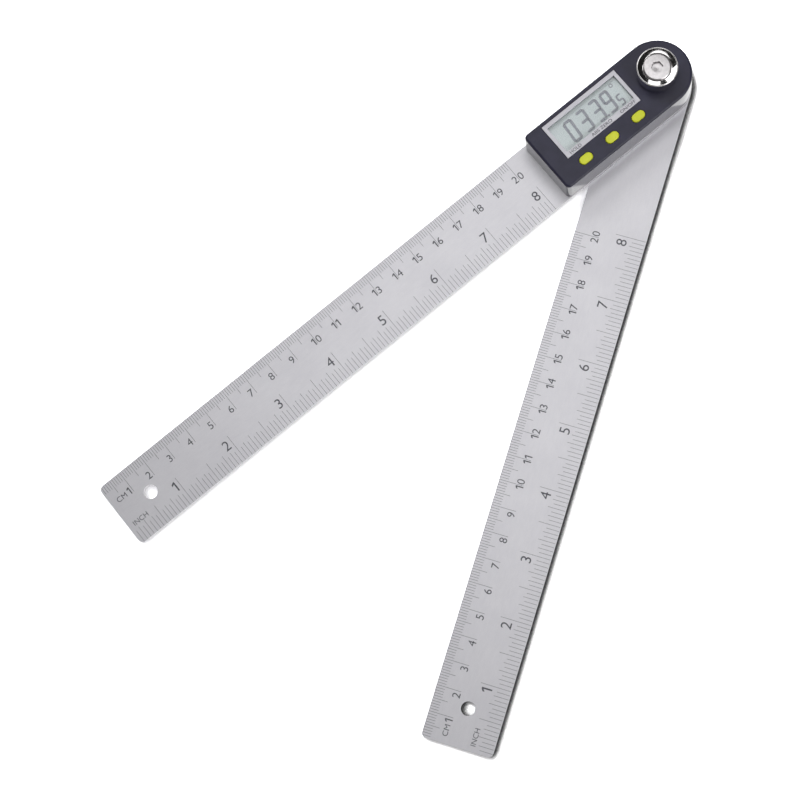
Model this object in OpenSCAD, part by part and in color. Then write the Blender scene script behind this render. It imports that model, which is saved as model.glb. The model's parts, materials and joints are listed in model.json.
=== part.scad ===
// Electronic angle finder: two steel rules that turn on one pivot, a moulded
// head with a display on the upper rule, and a clamp knob over the pivot.
// The origin is on the pivot axis, in the plane of the lower rule's back.
// The upper rule lies along -X, and the lower one stands open from it by arm_angle.

/* [Rules] */
// Width of each rule
rule_w = 27.4; // [26:0.1:32]
// Thickness of each rule
rule_t = 1.5; // [1.3:0.1:2]
// Pivot axis to the zero end of each rule
rule_reach = 264.4; // [200:0.1:320]
// Radius of the corners at the zero end
rule_corner_r = 2; // [0.5:0.5:4]
// Diameter of the hanging hole
hang_hole_d = 5.4; // [4:0.1:7]
// Zero end to the centre of the hanging hole
hang_hole_inset = 14.9; // [10:0.1:20]
// Space that the washer keeps between the rules
rule_gap = 0.3; // [0.2:0.05:0.6]
// Angle between the rules as modelled, in degrees
arm_angle = 33.95; // [0:0.05:180]

/* [Head] */
// Width of the head at its seat on the rule
head_w = 27.2; // [26:0.1:28]
// Pivot axis to the flat end of the head
head_tail = 54.8; // [54:0.1:60]
// Height of the head above the rule
head_h = 12.4; // [12:0.1:14]
// Radius of the two upright corners at the flat end
head_corner_r = 2; // [1.8:0.1:3]
// Radius of the edge round the top
head_edge_r = 1; // [0.6:0.1:1.2]
// How far the walls lean in from the seat to the top
head_draft = 0.15; // [0.1:0.05:0.5]
// Thickness of the side walls
head_wall = 1.6; // [1.4:0.1:1.8]
// Thickness of the top wall
head_roof = 1.5; // [1.3:0.1:1.7]

/* [Display] */
// Length of the silver frame
bezel_l = 35.6; // [34:0.1:36]
// Width of the silver frame
bezel_w = 15.9; // [15:0.1:16]
// Thickness of the silver frame
bezel_t = 0.5; // [0.4:0.05:0.6]
// Length of the opening in the frame
window_l = 32.6; // [30:0.1:33]
// Width of the opening in the frame
window_w = 11.9; // [10:0.1:12.2]

/* [Keys] */
// Length of each key
key_l = 5.6; // [4.5:0.1:6]
// Width of each key
key_w = 3.4; // [3:0.1:3.7]
// Distance from key to key
key_pitch = 12.8; // [12:0.1:13]
// Height of a key above the head
key_proud = 0.5; // [0.3:0.1:0.8]

/* [Pivot] */
// Diameter of the pivot shaft
shaft_d = 10; // [9.6:0.1:10]
// Diameter of the shaft's foot in the back of the lower rule
foot_d = 17; // [15:0.5:19]
// Outer diameter of the bearing bush
bush_d = 13; // [12.6:0.1:13]

/* [Clamp knob] */
// Diameter of the knob
knob_d = 15.6; // [15.4:0.1:16.4]
// Height of the knob
knob_h = 6.6; // [5.6:0.1:7.4]
// Radius of the ball whose cap is the hollow in the knob's top
dish_r = 22; // [16:1:40]
// Diameter of the stop screw's head
stop_head_d = 10.6; // [10.2:0.1:10.8]
// Height of the stop screw's head
stop_head_h = 2.2; // [2:0.1:2.6]
// Width across the flats of its hexagon socket
hex_key = 4; // [3:0.5:5]

/* [Battery] */
// Diameter of the coin cell
cell_d = 20; // [16:0.5:20]
// Height of the coin cell
cell_h = 3.2; // [2.5:0.1:3.2]
// How many lugs hold the cover
cover_lugs = 3; // [2:4]
// Turn that frees the cover, in degrees, anticlockwise as seen from the back
cover_turn = 45; // [35:5:50]

/* [Hidden] */
$fn = 96;

// Clearances: a part that turns on another, and a part dropped into another
run_gap = 0.04;
slip_gap = 0.1;
face_gap = 0.05;

// Heights, from the back of the lower rule upwards
z_upper = rule_t + rule_gap;
z_seat = z_upper + rule_t;
z_top = z_seat + head_h;
z_roof = z_top - head_roof;

// Head
base_t = 1.3;
cavity_w = head_w - 2 * head_wall;
cavity_tail = head_tail - head_wall;
cavity_corner_r = head_corner_r - head_wall / 2;
post_r = 2.3;
post_pilot_r = 0.8;
post_room = post_r + 2 * slip_gap;
post_places = [
    [3.6 - head_tail, 9.3], [3.6 - head_tail, -9.3],
    [-8, 10], [-8, -10]
];
screw_r = 1;
screw_head_r = 1.9;
screw_head_edge = 0.2;
screw_l = 8;
cross_slot = [2, 0.5, 0.5];
spring_seat_t = 0.3;

// Display
display_x = -29.3;
bezel_y = 3.75;
window_y = 4.05;
lens_rim = 0.3;
lens_t = 0.85;
lcd_l = 34.4;
lcd_w = 13.4;
lcd_t = 2;
lcd_z = z_roof - face_gap - lcd_t;
bezel_gap = 0.15;
lens_gap = 0.1;
holder_wall = [1.5, 0.4];
holder_opening = [29, 7];
holder_rib = [0.8, 9, 2.2];

// Board
board_t = 1;
board_z = z_seat + 5.5;
board_top = board_z + board_t;
board_hole_r = 7.2;
board_screw_places = [[-22.7, -9.5], [-48.6, -5.2]];
board_screw_head = [1.3, 0.9];
board_screw_l = 3;
board_post_r = 1.7;
board_pilot_r = 0.6;
plain_post_places = [[-19, 8.6], [-47, 8.6]];
plain_post_r = 1.2;
chip_y = window_y - 1.8;
chip_r = 3.2;
chip_h = 1.2;
chip_ball_r = 4.8;
zebra_size = [29.4, 2, lcd_z - board_top - 2 * face_gap];
zebra_y = window_y + 5;

// Keys
key_y = -8.6;
key_x = display_x + 0.2;
key_gap = 0.2;
key_rim = 0.7;
key_rim_t = 0.75;
key_ball_r = 14;
key_stem_r = 1.2;
key_stem_h = 1.5;
key_root = 0.3;
key_dome_h = 2.1;
key_dome_r = 2.2;
key_dome_tip_r = 1.5;
keypad_l = 32.2;
keypad_w = 4.6;
keypad_t = 0.75;

// Battery
cell_x = -33;
cell_r = cell_d / 2;
cover_r = cell_r + 0.3;
cover_bore_r = cover_r + face_gap;
lug_r = cover_r + 0.6;
pocket_r = lug_r + face_gap;
pocket_wall = 0.6;
collar_r = pocket_r + pocket_wall;
cover_z = z_upper + face_gap;
ledge_z = z_seat + 0.6;
lug_t = 0.6;
lug_arc = 24;
lug_room = 4;
cover_top = ledge_z + face_gap + lug_t;
lug_stop = 5;
cover_hollow_h = 1.1;
cover_hollow_wall = 1.5;
cell_z = cover_top + slip_gap;
cell_top = cell_z + cell_h;
cell_side = cell_x - cell_r;
cell_step_h = 0.3;
cell_step = 1.4;
contact_t = 0.2;
contact_window = [3, 5];
contact_sill = 1.2;
coin_slot = [12, 1.8, 0.8];
seal_z = cover_z + 1.1;
seal_r = 0.35;

// Pivot
foot_t = 0.8;
bush_flange_r = bush_d / 2 + 1.7;
bush_flange_t = 0.9;
bush_top = board_z - 0.2;
flat_x = shaft_d / 2 - 0.6;
hub_z = board_top + 0.15;
hub_sleeve_r = 7;
hub_flange_r = 8.5;
rotor_r = 10;
rotor_z = board_top + 0.3;
rotor_t = 0.6;
hub_flange_t = 0.7;
hub_top = hub_z + 2.05;
spring_t = 0.25;
spring_low_r = shaft_d / 2 + 0.2;
spring_high_r = hub_flange_r - 0.5;
spring_top = z_roof - spring_seat_t - face_gap;
blade_washer_r = 10.4;
thread_r = 3;

// Clamp knob
washer_z = z_top + face_gap;
washer_t = 0.45;
washer_r = 7.2;
knob_z = washer_z + washer_t + face_gap;
knob_edge_r = 0.4;
knob_rim_r = knob_d / 2 - knob_edge_r;
dish_z = knob_h + ball_rise(dish_r, knob_rim_r);
stop_rise = 0.1;
stop_z = knob_z + knob_h + stop_rise - stop_head_h;
knob_travel = 1;
well_floor = stop_z - knob_z - knob_travel;
well_r = stop_head_d / 2 + 0.2;
stop_edge_r = 0.6;
stop_ball_r = 80;
stop_shank_l = 8;
hex_depth = 1.7;

// A flat tongue: round about the pivot axis, with two small corners at its far end
module tongue(reach, width, corner_r) {
    circle(d = width);
    translate([corner_r - reach, -width / 2]) square([reach - corner_r, width]);
    translate([-reach, corner_r - width / 2]) square([corner_r, width - 2 * corner_r]);
    for (side = [-1, 1])
        translate([corner_r - reach, side * (width / 2 - corner_r)]) circle(corner_r);
}

// A stadium along X, centred
module stadium(length, width) {
    square([length - width, width], center = true);
    for (side = [-1, 1])
        translate([side * (length - width) / 2, 0]) circle(d = width);
}

// A block centred on X and Y, standing at height z
module block(x, y, z, length, width, height) {
    translate([x - length / 2, y - width / 2, z]) cube([length, width, height]);
}

// A sector of a disc, from the centre out past radius r
module sector(r, middle, arc) {
    polygon(concat([[0, 0]], [for (k = [-1:0.5:1]) 1.2 * r * direction(middle + k * arc / 2)]));
}

function direction(angle) = [cos(angle), sin(angle)];

// Height of a ball's surface over its centre, at a distance from its axis
function ball_rise(r, distance) = sqrt(pow(r, 2) - pow(distance, 2));

// A sheet-metal strip: an outline in X and Z, with its width along Y
module strip(points, width) {
    rotate([90, 0, 0]) linear_extrude(width, center = true) polygon(points);
}

// What turns with the lower rule is drawn along -X and then opened
module with_lower_rule() {
    rotate([0, 0, arm_angle]) children();
}

// The round hole with one flat that keys a piece to the shaft
module keyed_bore() {
    intersection() {
        circle(shaft_d / 2 + run_gap);
        translate([-shaft_d, -shaft_d]) square([shaft_d + flat_x + run_gap, 2 * shaft_d]);
    }
}

// Rules

module rule_blank() {
    linear_extrude(rule_t) difference() {
        tongue(rule_reach, rule_w, rule_corner_r);
        translate([hang_hole_inset - rule_reach, 0]) circle(d = hang_hole_d);
    }
}

module upper_blade() color("gainsboro") difference() {
    translate([0, 0, z_upper]) rule_blank();
    translate([0, 0, z_upper - 1]) cylinder(d = bush_d, h = rule_t + 2);
    translate([cell_x, 0, z_upper - 1]) cylinder(r = collar_r + slip_gap, h = rule_t + 2);
    for (place = post_places)
        translate([place.x, place.y, z_upper]) screw_shape(slip_gap, 1);
}

module lower_blade() color("gainsboro") with_lower_rule() difference() {
    rule_blank();
    translate([0, 0, -1]) cylinder(d = shaft_d, h = rule_t + 2);
    translate([0, 0, -1]) cylinder(d = foot_d + 2 * face_gap, h = foot_t + 1);
}

module blade_washer() color("ivory") translate([0, 0, rule_t]) difference() {
    cylinder(r = blade_washer_r, h = rule_gap);
    translate([0, 0, -1]) cylinder(r = shaft_d / 2 + slip_gap, h = rule_gap + 2);
}

// Head

// The moulded block: straight leaning walls, then a rounded edge up to the flat top
module head_level(height, inset) {
    translate([0, 0, z_seat + height]) linear_extrude(0.01)
        tongue(head_tail - inset, head_w - 2 * inset, head_corner_r - inset / 2, $fn = 48);
}

module head_form() hull() {
    head_level(0, 0);
    for (angle = [0:18:90])
        head_level(
            head_h - head_edge_r * (1 - sin(angle)) - 0.01,
            head_draft + head_edge_r * (1 - cos(angle))
        );
}

module head_cover() color("#3f3f4b") difference() {
    union() {
        difference() {
            head_form();
            translate([0, 0, z_seat - 1]) linear_extrude(z_roof - z_seat + 1)
                tongue(cavity_tail, cavity_w, cavity_corner_r);
        }
        for (place = post_places)
            translate([place.x, place.y, z_seat + base_t])
                cylinder(r = post_r, h = z_roof - z_seat - base_t + 0.5);
        // Ribs that stop the display holder from sliding endways
        for (side = [-1, 1])
            block(
                display_x + side * (lcd_l / 2 + holder_wall.x + holder_rib.x + slip_gap), window_y,
                z_roof - holder_rib.z, holder_rib.x, holder_rib.y, holder_rib.z + spring_seat_t
            );
        // Ring that the hub spring bears on
        translate([0, 0, z_roof - spring_seat_t]) cylinder(r = hub_flange_r, h = 2 * spring_seat_t);
    }
    for (place = post_places)
        translate([place.x, place.y, z_seat]) cylinder(r = post_pilot_r, h = screw_l);
    block(
        display_x, bezel_y, z_top - bezel_t,
        bezel_l + 2 * bezel_gap, bezel_w + 2 * bezel_gap, 2 * bezel_t
    );
    block(
        display_x, window_y, z_roof - 1,
        window_l + 2 * (lens_rim + lens_gap), window_w + 2 * (lens_rim + lens_gap), 2 * head_roof
    );
    for (k = [-1:1])
        translate([key_x + k * key_pitch, key_y, z_roof - 1]) linear_extrude(2 * head_roof)
            stadium(key_l + 2 * key_gap, key_w + 2 * key_gap);
    translate([0, 0, z_roof - 1]) cylinder(r = shaft_d / 2 + 0.3, h = 2 * head_roof);
}

module head_base() color("#2a2b30") difference() {
    union() {
        translate([0, 0, z_seat]) linear_extrude(base_t)
            tongue(cavity_tail - slip_gap, cavity_w - 2 * slip_gap, cavity_corner_r);
        // Collar that lines the opening in the rule, and the wall of the cell's pocket
        translate([cell_x, 0, cover_z]) cylinder(r = collar_r, h = board_z - cover_z);
        for (place = board_screw_places)
            translate([place.x, place.y, z_seat]) cylinder(r = board_post_r, h = board_z - z_seat);
        // Two plain posts under the board's other corners
        for (place = plain_post_places)
            translate([place.x, place.y, z_seat]) cylinder(r = plain_post_r, h = board_z - z_seat);
    }
    translate([cell_x, 0, 0]) {
        cylinder(r = cover_bore_r, h = board_z + 1);
        translate([0, 0, ledge_z]) difference() {
            cylinder(r = pocket_r, h = board_z);
            // Stops beside the lugs, where the closed cover comes to rest
            translate([0, 0, -1]) linear_extrude(lug_t + 1 + face_gap)
                lug_sectors(lug_arc / 2 + lug_room, lug_stop);
        }
        // Notches that let the lugs in
        linear_extrude(ledge_z + 1) intersection() {
            circle(pocket_r);
            lug_sectors(-cover_turn, lug_arc + lug_room);
        }
    }
    // Window for the side contact
    block(cell_side - 1, 0, ledge_z + contact_sill, contact_window.x, contact_window.y, board_z);
    translate([0, 0, z_seat - 1]) cylinder(r = bush_flange_r + slip_gap, h = base_t + 2);
    for (place = post_places)
        translate([place.x, place.y, z_seat - 1]) cylinder(r = screw_r + slip_gap, h = base_t + 2);
    for (place = board_screw_places)
        translate([place.x, place.y, board_z - board_screw_l])
            cylinder(r = board_pilot_r, h = 2 * board_screw_l);
}

// Sectors of a ring at each lug, turned on from the closed place
module lug_sectors(turned, arc) {
    for (k = [0:cover_lugs - 1])
        sector(pocket_r, k * 360 / cover_lugs + 90 + turned, arc);
}

// Display

module display_bezel() color("silver") difference() {
    block(display_x, bezel_y, z_top - bezel_t, bezel_l, bezel_w, bezel_t);
    block(display_x, window_y, z_top - 1, window_l, window_w, 2);
}

module display_window() color("lightcyan", 0.4)
    block(display_x, window_y, z_roof + slip_gap, window_l + 2 * lens_rim, window_w + 2 * lens_rim, lens_t);

module lcd_panel() color("#aab3b5")
    block(display_x, window_y, lcd_z, lcd_l, lcd_w, lcd_t);

module lcd_holder() color("whitesmoke") difference() {
    holder_z = board_top + face_gap;
    block(
        display_x, window_y, holder_z,
        lcd_l + 2 * holder_wall.x, lcd_w + 2 * holder_wall.y, z_roof - face_gap - holder_z
    );
    block(display_x, window_y, lcd_z - face_gap, lcd_l + 2 * slip_gap, lcd_w + 2 * slip_gap, 2 * lcd_t);
    block(display_x, chip_y, holder_z - 1, holder_opening.x, holder_opening.y, head_h);
    block(
        display_x, zebra_y, holder_z - 1,
        zebra_size.x + 2 * slip_gap, zebra_size.y + 2 * slip_gap, head_h
    );
}

module zebra_connector() color("dimgray")
    block(display_x, zebra_y, board_top + face_gap, zebra_size.x, zebra_size.y, zebra_size.z);

// Board

module circuit_board() color("darkgreen") difference() {
    translate([0, 0, board_z]) linear_extrude(board_t)
        tongue(cavity_tail - 2 * slip_gap, cavity_w - 4 * slip_gap, cavity_corner_r);
    translate([0, 0, board_z - 1]) cylinder(r = board_hole_r, h = board_t + 2);
    for (place = post_places)
        translate([place.x, place.y, board_z - 1]) cylinder(r = post_room, h = board_t + 2);
    // The corners at the tail are notched clear of the posts there
    for (side = [-1, 1])
        block(
            post_places[0].x - post_room, side * (post_places[0].y + post_room), board_z - 1,
            4 * post_room, 4 * post_room, board_t + 2
        );
    for (place = board_screw_places)
        translate([place.x, place.y, board_z - 1]) cylinder(r = board_pilot_r + 0.3, h = board_t + 2);
}

module chip_cap() color("black") translate([cell_x, chip_y, board_top]) intersection() {
    cylinder(r = chip_r, h = chip_h);
    translate([0, 0, chip_h - chip_ball_r]) sphere(r = chip_ball_r);
}

module board_screws() color("silver")
    for (place = board_screw_places)
        translate([place.x, place.y, 0]) {
            translate([0, 0, board_top - board_screw_l])
                cylinder(r = board_pilot_r, h = board_screw_l + board_screw_head[1] / 2);
            translate([0, 0, board_top]) cylinder(r = board_screw_head[0], h = board_screw_head[1]);
        }

// Keys

module keypad() color("lightgray") difference() {
    translate([key_x, key_y, board_top]) {
        block(0, 0, 0, keypad_l, keypad_w, keypad_t);
        for (k = [-1:1])
            translate([k * key_pitch, 0, 0])
                cylinder(r1 = key_dome_r, r2 = key_dome_tip_r, h = key_dome_h);
    }
    // Room for the board screw beside it
    translate([board_screw_places[0].x, board_screw_places[0].y, board_top - 1])
        cylinder(r = board_screw_head[0] + 0.3, h = keypad_t + 2);
}

module key(k) color("#c8cd48") translate([key_x + k * key_pitch, key_y, 0]) {
    cap_top = z_top + key_proud;
    // The cap's crown is part of a large ball
    intersection() {
        translate([0, 0, z_roof - key_root]) linear_extrude(cap_top - z_roof + key_root)
            stadium(key_l, key_w);
        translate([0, 0, cap_top - key_ball_r]) sphere(r = key_ball_r);
    }
    translate([0, 0, z_roof - face_gap - key_rim_t]) linear_extrude(key_rim_t)
        stadium(key_l + 2 * key_rim, key_w + 2 * key_rim);
    translate([0, 0, board_top + key_dome_h + face_gap]) cylinder(r = key_stem_r, h = key_stem_h);
}

module hold_button() key(-1);

module zero_button() key(0);

module power_button() key(1);

// Battery

module battery_cell() color("lightsteelblue") translate([cell_x, 0, cell_z]) {
    cylinder(r = cell_r, h = cell_h - cell_step_h);
    cylinder(r = cell_r - cell_step, h = cell_h);
}

module minus_contact() color("goldenrod") strip([
    [cell_x - 5, board_z], [cell_x - 2, board_z],
    [cell_x + 2.5, cell_top + 0.25], [cell_x + 4.5, cell_top + 0.4],
    [cell_x + 4.5, cell_top + 0.4 - contact_t], [cell_x + 2.5, cell_top + 0.25 - contact_t],
    [cell_x - 2.1, board_z - contact_t], [cell_x - 5, board_z - contact_t]
], 3);

module plus_contact() color("goldenrod") strip([
    [cell_side - 5.5, board_z], [cell_side - 1.1, board_z],
    [cell_side - 0.4, cell_z + 2], [cell_side - 0.05, cell_z + 1.3], [cell_side - 0.4, cell_z + 0.6],
    [cell_side - 0.4 - contact_t, cell_z + 0.6], [cell_side - 0.05 - contact_t, cell_z + 1.3],
    [cell_side - 0.4 - contact_t, cell_z + 2],
    [cell_side - 1.1 - contact_t, board_z - contact_t], [cell_side - 5.5, board_z - contact_t]
], 4);

module battery_cover() color("#26272b") translate([cell_x, 0, 0]) difference() {
    union() {
        translate([0, 0, cover_z]) cylinder(r = cover_r, h = cover_top - cover_z);
        translate([0, 0, ledge_z + face_gap]) linear_extrude(lug_t) intersection() {
            circle(lug_r);
            lug_sectors(0, lug_arc);
        }
    }
    translate([0, 0, cover_z]) block(0, 0, -1, coin_slot.x, coin_slot.y, coin_slot.z + 1);
    translate([0, 0, cover_top - cover_hollow_h])
        cylinder(r = cover_r - cover_hollow_wall, h = cover_hollow_h + 1);
    translate([0, 0, seal_z - seal_r]) difference() {
        cylinder(r = cover_r + 1, h = 2 * seal_r);
        translate([0, 0, -1]) cylinder(r = cover_r - 2 * seal_r, h = 3);
    }
}

module cover_seal() color("black") translate([cell_x, 0, seal_z])
    rotate_extrude() translate([cover_r - seal_r, 0]) circle(seal_r - 0.01);

// Pivot

module pivot_bush() color("goldenrod") difference() {
    union() {
        translate([0, 0, z_upper + face_gap]) cylinder(d = bush_d, h = bush_top - z_upper - face_gap);
        translate([0, 0, z_seat]) cylinder(r = bush_flange_r, h = bush_flange_t);
    }
    cylinder(r = shaft_d / 2 + run_gap, h = z_top);
}

module pivot_shaft() color("silver") with_lower_rule() difference() {
    union() {
        cylinder(d = foot_d, h = foot_t);
        cylinder(d = shaft_d, h = stop_z);
    }
    // Flat that keys the hub and the knob's washer
    block(flat_x + shaft_d / 2, 0, hub_z, shaft_d, 2 * shaft_d, z_top);
    translate([0, 0, stop_z - stop_shank_l - 1]) cylinder(r = thread_r, h = z_top);
}

module encoder_rotor() color("seagreen") with_lower_rule() translate([0, 0, rotor_z]) difference() {
    cylinder(r = rotor_r, h = rotor_t);
    translate([0, 0, -1]) cylinder(r = hub_sleeve_r, h = rotor_t + 2);
}

module rotor_hub() color("whitesmoke") with_lower_rule() difference() {
    union() {
        translate([0, 0, hub_z]) cylinder(r = hub_sleeve_r, h = hub_top - hub_z);
        translate([0, 0, rotor_z + rotor_t]) cylinder(r = hub_flange_r, h = hub_flange_t);
    }
    translate([0, 0, hub_z - 1]) linear_extrude(head_h) keyed_bore();
}

// A coned disc: its inner edge stands on the hub, its outer edge bears under the roof
module hub_spring() color("silver") with_lower_rule() rotate_extrude() polygon([
    [spring_low_r, hub_top], [spring_low_r + spring_t, hub_top],
    [spring_high_r, spring_top - spring_t], [spring_high_r, spring_top],
    [spring_high_r - spring_t, spring_top], [spring_low_r, hub_top + spring_t]
]);

// Clamp knob

module knob_washer() color("silver") with_lower_rule() translate([0, 0, washer_z])
    linear_extrude(washer_t) difference() {
        circle(washer_r);
        keyed_bore();
    }

// Half section of the knob, in radius and height: eased edges, a hollow turned into the top,
// and a well in which the stop screw's head leaves the knob room to rise
module knob_section() difference() {
    union() {
        square([knob_rim_r, knob_h]);
        translate([0, knob_edge_r]) square([knob_d / 2, knob_h - 2 * knob_edge_r]);
        for (z = [knob_edge_r, knob_h - knob_edge_r])
            translate([knob_rim_r, z]) circle(knob_edge_r);
    }
    translate([0, dish_z]) circle(dish_r);
    translate([0, well_floor]) square([well_r, knob_h]);
    translate([-1, -1]) square([shaft_d / 2 + run_gap + 1, knob_h + 2]);
}

module lock_knob() color("gainsboro") translate([0, 0, knob_z]) rotate_extrude() knob_section();

// Half section of the stop screw's head: a nearly flat top with a rounded edge
module stop_section() {
    flat_r = stop_head_d / 2 - stop_edge_r;
    intersection() {
        union() {
            square([flat_r, stop_head_h]);
            square([stop_head_d / 2, stop_head_h - stop_edge_r]);
            translate([flat_r, stop_head_h - stop_edge_r]) circle(stop_edge_r);
        }
        translate([0, stop_head_h - stop_ball_r]) circle(stop_ball_r, $fn = 720);
        square(stop_head_d);
    }
}

module stop_screw() color("whitesmoke") with_lower_rule() translate([0, 0, stop_z]) difference() {
    union() {
        rotate_extrude() stop_section();
        translate([0, 0, -stop_shank_l]) cylinder(r = thread_r, h = stop_shank_l);
    }
    translate([0, 0, stop_head_h - hex_depth]) cylinder(d = hex_key / cos(30), h = 3, $fn = 6);
}

// Fasteners through the rule

// A countersunk screw, head down; spare makes room round it
module screw_shape(spare, below) {
    translate([0, 0, -below]) cylinder(r = screw_head_r + spare, h = below + screw_head_edge);
    translate([0, 0, screw_head_edge])
        cylinder(r1 = screw_head_r + spare, r2 = screw_r + spare, h = screw_head_r - screw_r);
    cylinder(r = screw_r + spare, h = z_seat - z_upper + 1);
}

module housing_screws() color("silver")
    for (place = post_places)
        translate([place.x, place.y, z_upper + 0.02]) {
            difference() {
                screw_shape(0, 0);
                for (turn = [0, 90])
                    rotate([0, 0, turn]) block(0, 0, -1, cross_slot.x, cross_slot.y, 1 + cross_slot.z);
            }
            translate([0, 0, 1]) cylinder(r = post_pilot_r, h = screw_l - 1);
        }

upper_blade();
lower_blade();
head_cover();
head_base();
display_bezel();
display_window();
lcd_panel();
lcd_holder();
zebra_connector();
circuit_board();
chip_cap();
keypad();
power_button();
hold_button();
zero_button();
battery_cell();
plus_contact();
minus_contact();
battery_cover();
cover_seal();
pivot_bush();
pivot_shaft();
blade_washer();
encoder_rotor();
rotor_hub();
hub_spring();
knob_washer();
lock_knob();
stop_screw();
housing_screws();
board_screws();
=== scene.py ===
import json
import math

import bmesh
import bpy
from mathutils import Matrix, Vector


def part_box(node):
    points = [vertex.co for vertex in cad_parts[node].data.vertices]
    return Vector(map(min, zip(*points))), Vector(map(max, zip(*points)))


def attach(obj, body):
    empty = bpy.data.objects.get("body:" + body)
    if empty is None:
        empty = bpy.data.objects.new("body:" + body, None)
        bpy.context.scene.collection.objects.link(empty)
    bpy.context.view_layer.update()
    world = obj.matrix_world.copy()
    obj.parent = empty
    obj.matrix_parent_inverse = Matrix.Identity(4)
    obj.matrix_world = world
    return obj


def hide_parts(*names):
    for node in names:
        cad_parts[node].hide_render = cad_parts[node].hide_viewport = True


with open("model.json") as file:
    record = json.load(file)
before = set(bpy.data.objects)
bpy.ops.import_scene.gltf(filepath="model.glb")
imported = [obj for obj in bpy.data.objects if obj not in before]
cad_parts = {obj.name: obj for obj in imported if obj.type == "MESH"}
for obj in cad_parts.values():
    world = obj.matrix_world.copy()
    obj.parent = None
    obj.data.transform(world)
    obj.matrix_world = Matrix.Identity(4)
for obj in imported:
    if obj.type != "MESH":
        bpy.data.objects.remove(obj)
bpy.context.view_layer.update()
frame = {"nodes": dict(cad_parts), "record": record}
nodes = frame["nodes"]
bpy.ops.object.select_all(action="DESELECT")
mm = 0.001


# Camera. It looks almost straight down on the open finder, from a little
# towards the reader's side, with the head at the top right.
camera_place = Vector((-188.16, -196.65, 771.11)) * mm
camera_turn = (10.9205, 5.6125, -38.7105)
camera_lens = 93.21
sensor_side = 36

bpy.ops.object.camera_add(location=camera_place, rotation=[math.radians(angle) for angle in camera_turn])
camera = bpy.context.object
camera.data.sensor_width = sensor_side
camera.data.lens = camera_lens
bpy.context.scene.camera = camera


# Floor. A sheet of white paper under the tool. For the camera it is brightened so that the lamps' shadows on
# it mostly wash out to white, and a narrow painted shadow is darkened into it beside the steel.
class Wire:
    """A socket in a node tree. Sums, differences and products of wires add their Math nodes."""

    def __init__(self, tree, socket=None):
        self.tree = tree
        self.socket = socket

    def node(self, kind, settings, inputs, output=0):
        """Adds a node: its settings first, then the values or wires of its sockets."""
        made = self.tree.nodes.new(kind)
        for name, value in settings.items():
            setattr(made, name, value)
        for name, value in inputs.items():
            if isinstance(value, Wire):
                self.tree.links.new(value.socket, made.inputs[name])
            else:
                made.inputs[name].default_value = value
        return Wire(self.tree, made.outputs[output] if made.outputs else None)

    def math(self, operation, first, second=0.0):
        return self.node("ShaderNodeMath", {"operation": operation}, {0: first, 1: second})

    def __add__(self, other):
        return self.math("ADD", self, other)

    def __radd__(self, other):
        return self.math("ADD", other, self)

    def __sub__(self, other):
        return self.math("SUBTRACT", self, other)

    def __rsub__(self, other):
        return self.math("SUBTRACT", other, self)

    def __mul__(self, other):
        return self.math("MULTIPLY", self, other)

    def __rmul__(self, other):
        return self.math("MULTIPLY", other, self)

    def span(self, low, high, to_low=0.0, to_high=1.0):
        """The wire's range from low to high, mapped to another range and held at its ends."""
        sockets = {"Value": self, "From Min": low, "From Max": high, "To Min": to_low, "To Max": to_high}
        return self.node("ShaderNodeMapRange", {"clamp": True}, sockets)


def colour(red, green, blue):
    """A screen colour, each part from 0 to 255, as the linear colour that shaders take."""
    return tuple(((part / 255 + 0.055) / 1.055) ** 2.4 for part in (red, green, blue)) + (1,)


floor_side = 24
floor_drop = 0.1 * mm
floor_albedo = 0.85
floor_seen = 2.8
open_ray = 4 * mm
# Reach, starting value and darkest value of the painted shadow beside the steel
painted_shadow_reach = 3 * mm
painted_shadow_open = 0.58
painted_shadow_dark = 0.02
light_side = Vector((-0.62, 0.62, 0.5))

bpy.ops.mesh.primitive_plane_add(size=floor_side, location=(0, 0, -floor_drop))
floor = bpy.context.object
floor.name = "paper_floor"
paper = bpy.data.materials.new("white_paper")
paper.use_nodes = True
paper.node_tree.nodes.clear()
start = Wire(paper.node_tree)
ray = {
    name: start.node("ShaderNodeLightPath", {}, {}, name)
    for name in ("Is Camera Ray", "Is Glossy Ray", "Is Transmission Ray", "Ray Length")
}
# Painted shadow: close beside the steel, on the side away from the light, an ambient-occlusion lookup darkens
# the sheet's colour where the camera sees it
toward = start.node("ShaderNodeCombineXYZ", {}, dict(zip("XYZ", light_side)))
painted_shadow = start.node(
    "ShaderNodeAmbientOcclusion", {"samples": 8}, {"Distance": painted_shadow_reach, "Normal": toward}, "AO"
)
seen = floor_seen * painted_shadow.span(painted_shadow_open, 1.0, painted_shadow_dark, 1.0)
brightness = floor_albedo + (seen - floor_albedo) * ray["Is Camera Ray"]
tint = start.node("ShaderNodeCombineXYZ", {}, {"X": brightness, "Y": brightness, "Z": brightness})
sheet = start.node("ShaderNodeBsdfDiffuse", {}, {"Color": tint})
mirrored = start.math("MAXIMUM", ray["Is Glossy Ray"], ray["Is Transmission Ray"])
white = start.node("ShaderNodeEmission", {}, {"Strength": 1.0})
lit = start.node("ShaderNodeMixShader", {}, {0: mirrored, 1: sheet, 2: white})
# It is clear from below, and lets light up to the back of what lies on it
behind = start.node("ShaderNodeNewGeometry", {}, {}, "Backfacing")
opened = start.math("MAXIMUM", behind, start.math("LESS_THAN", ray["Ray Length"], open_ray))
clear = start.node("ShaderNodeBsdfTransparent", {}, {})
shown = start.node("ShaderNodeMixShader", {}, {0: opened, 1: lit, 2: clear})
start.node("ShaderNodeOutputMaterial", {}, {"Surface": shown})
floor.data.materials.append(paper)


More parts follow.
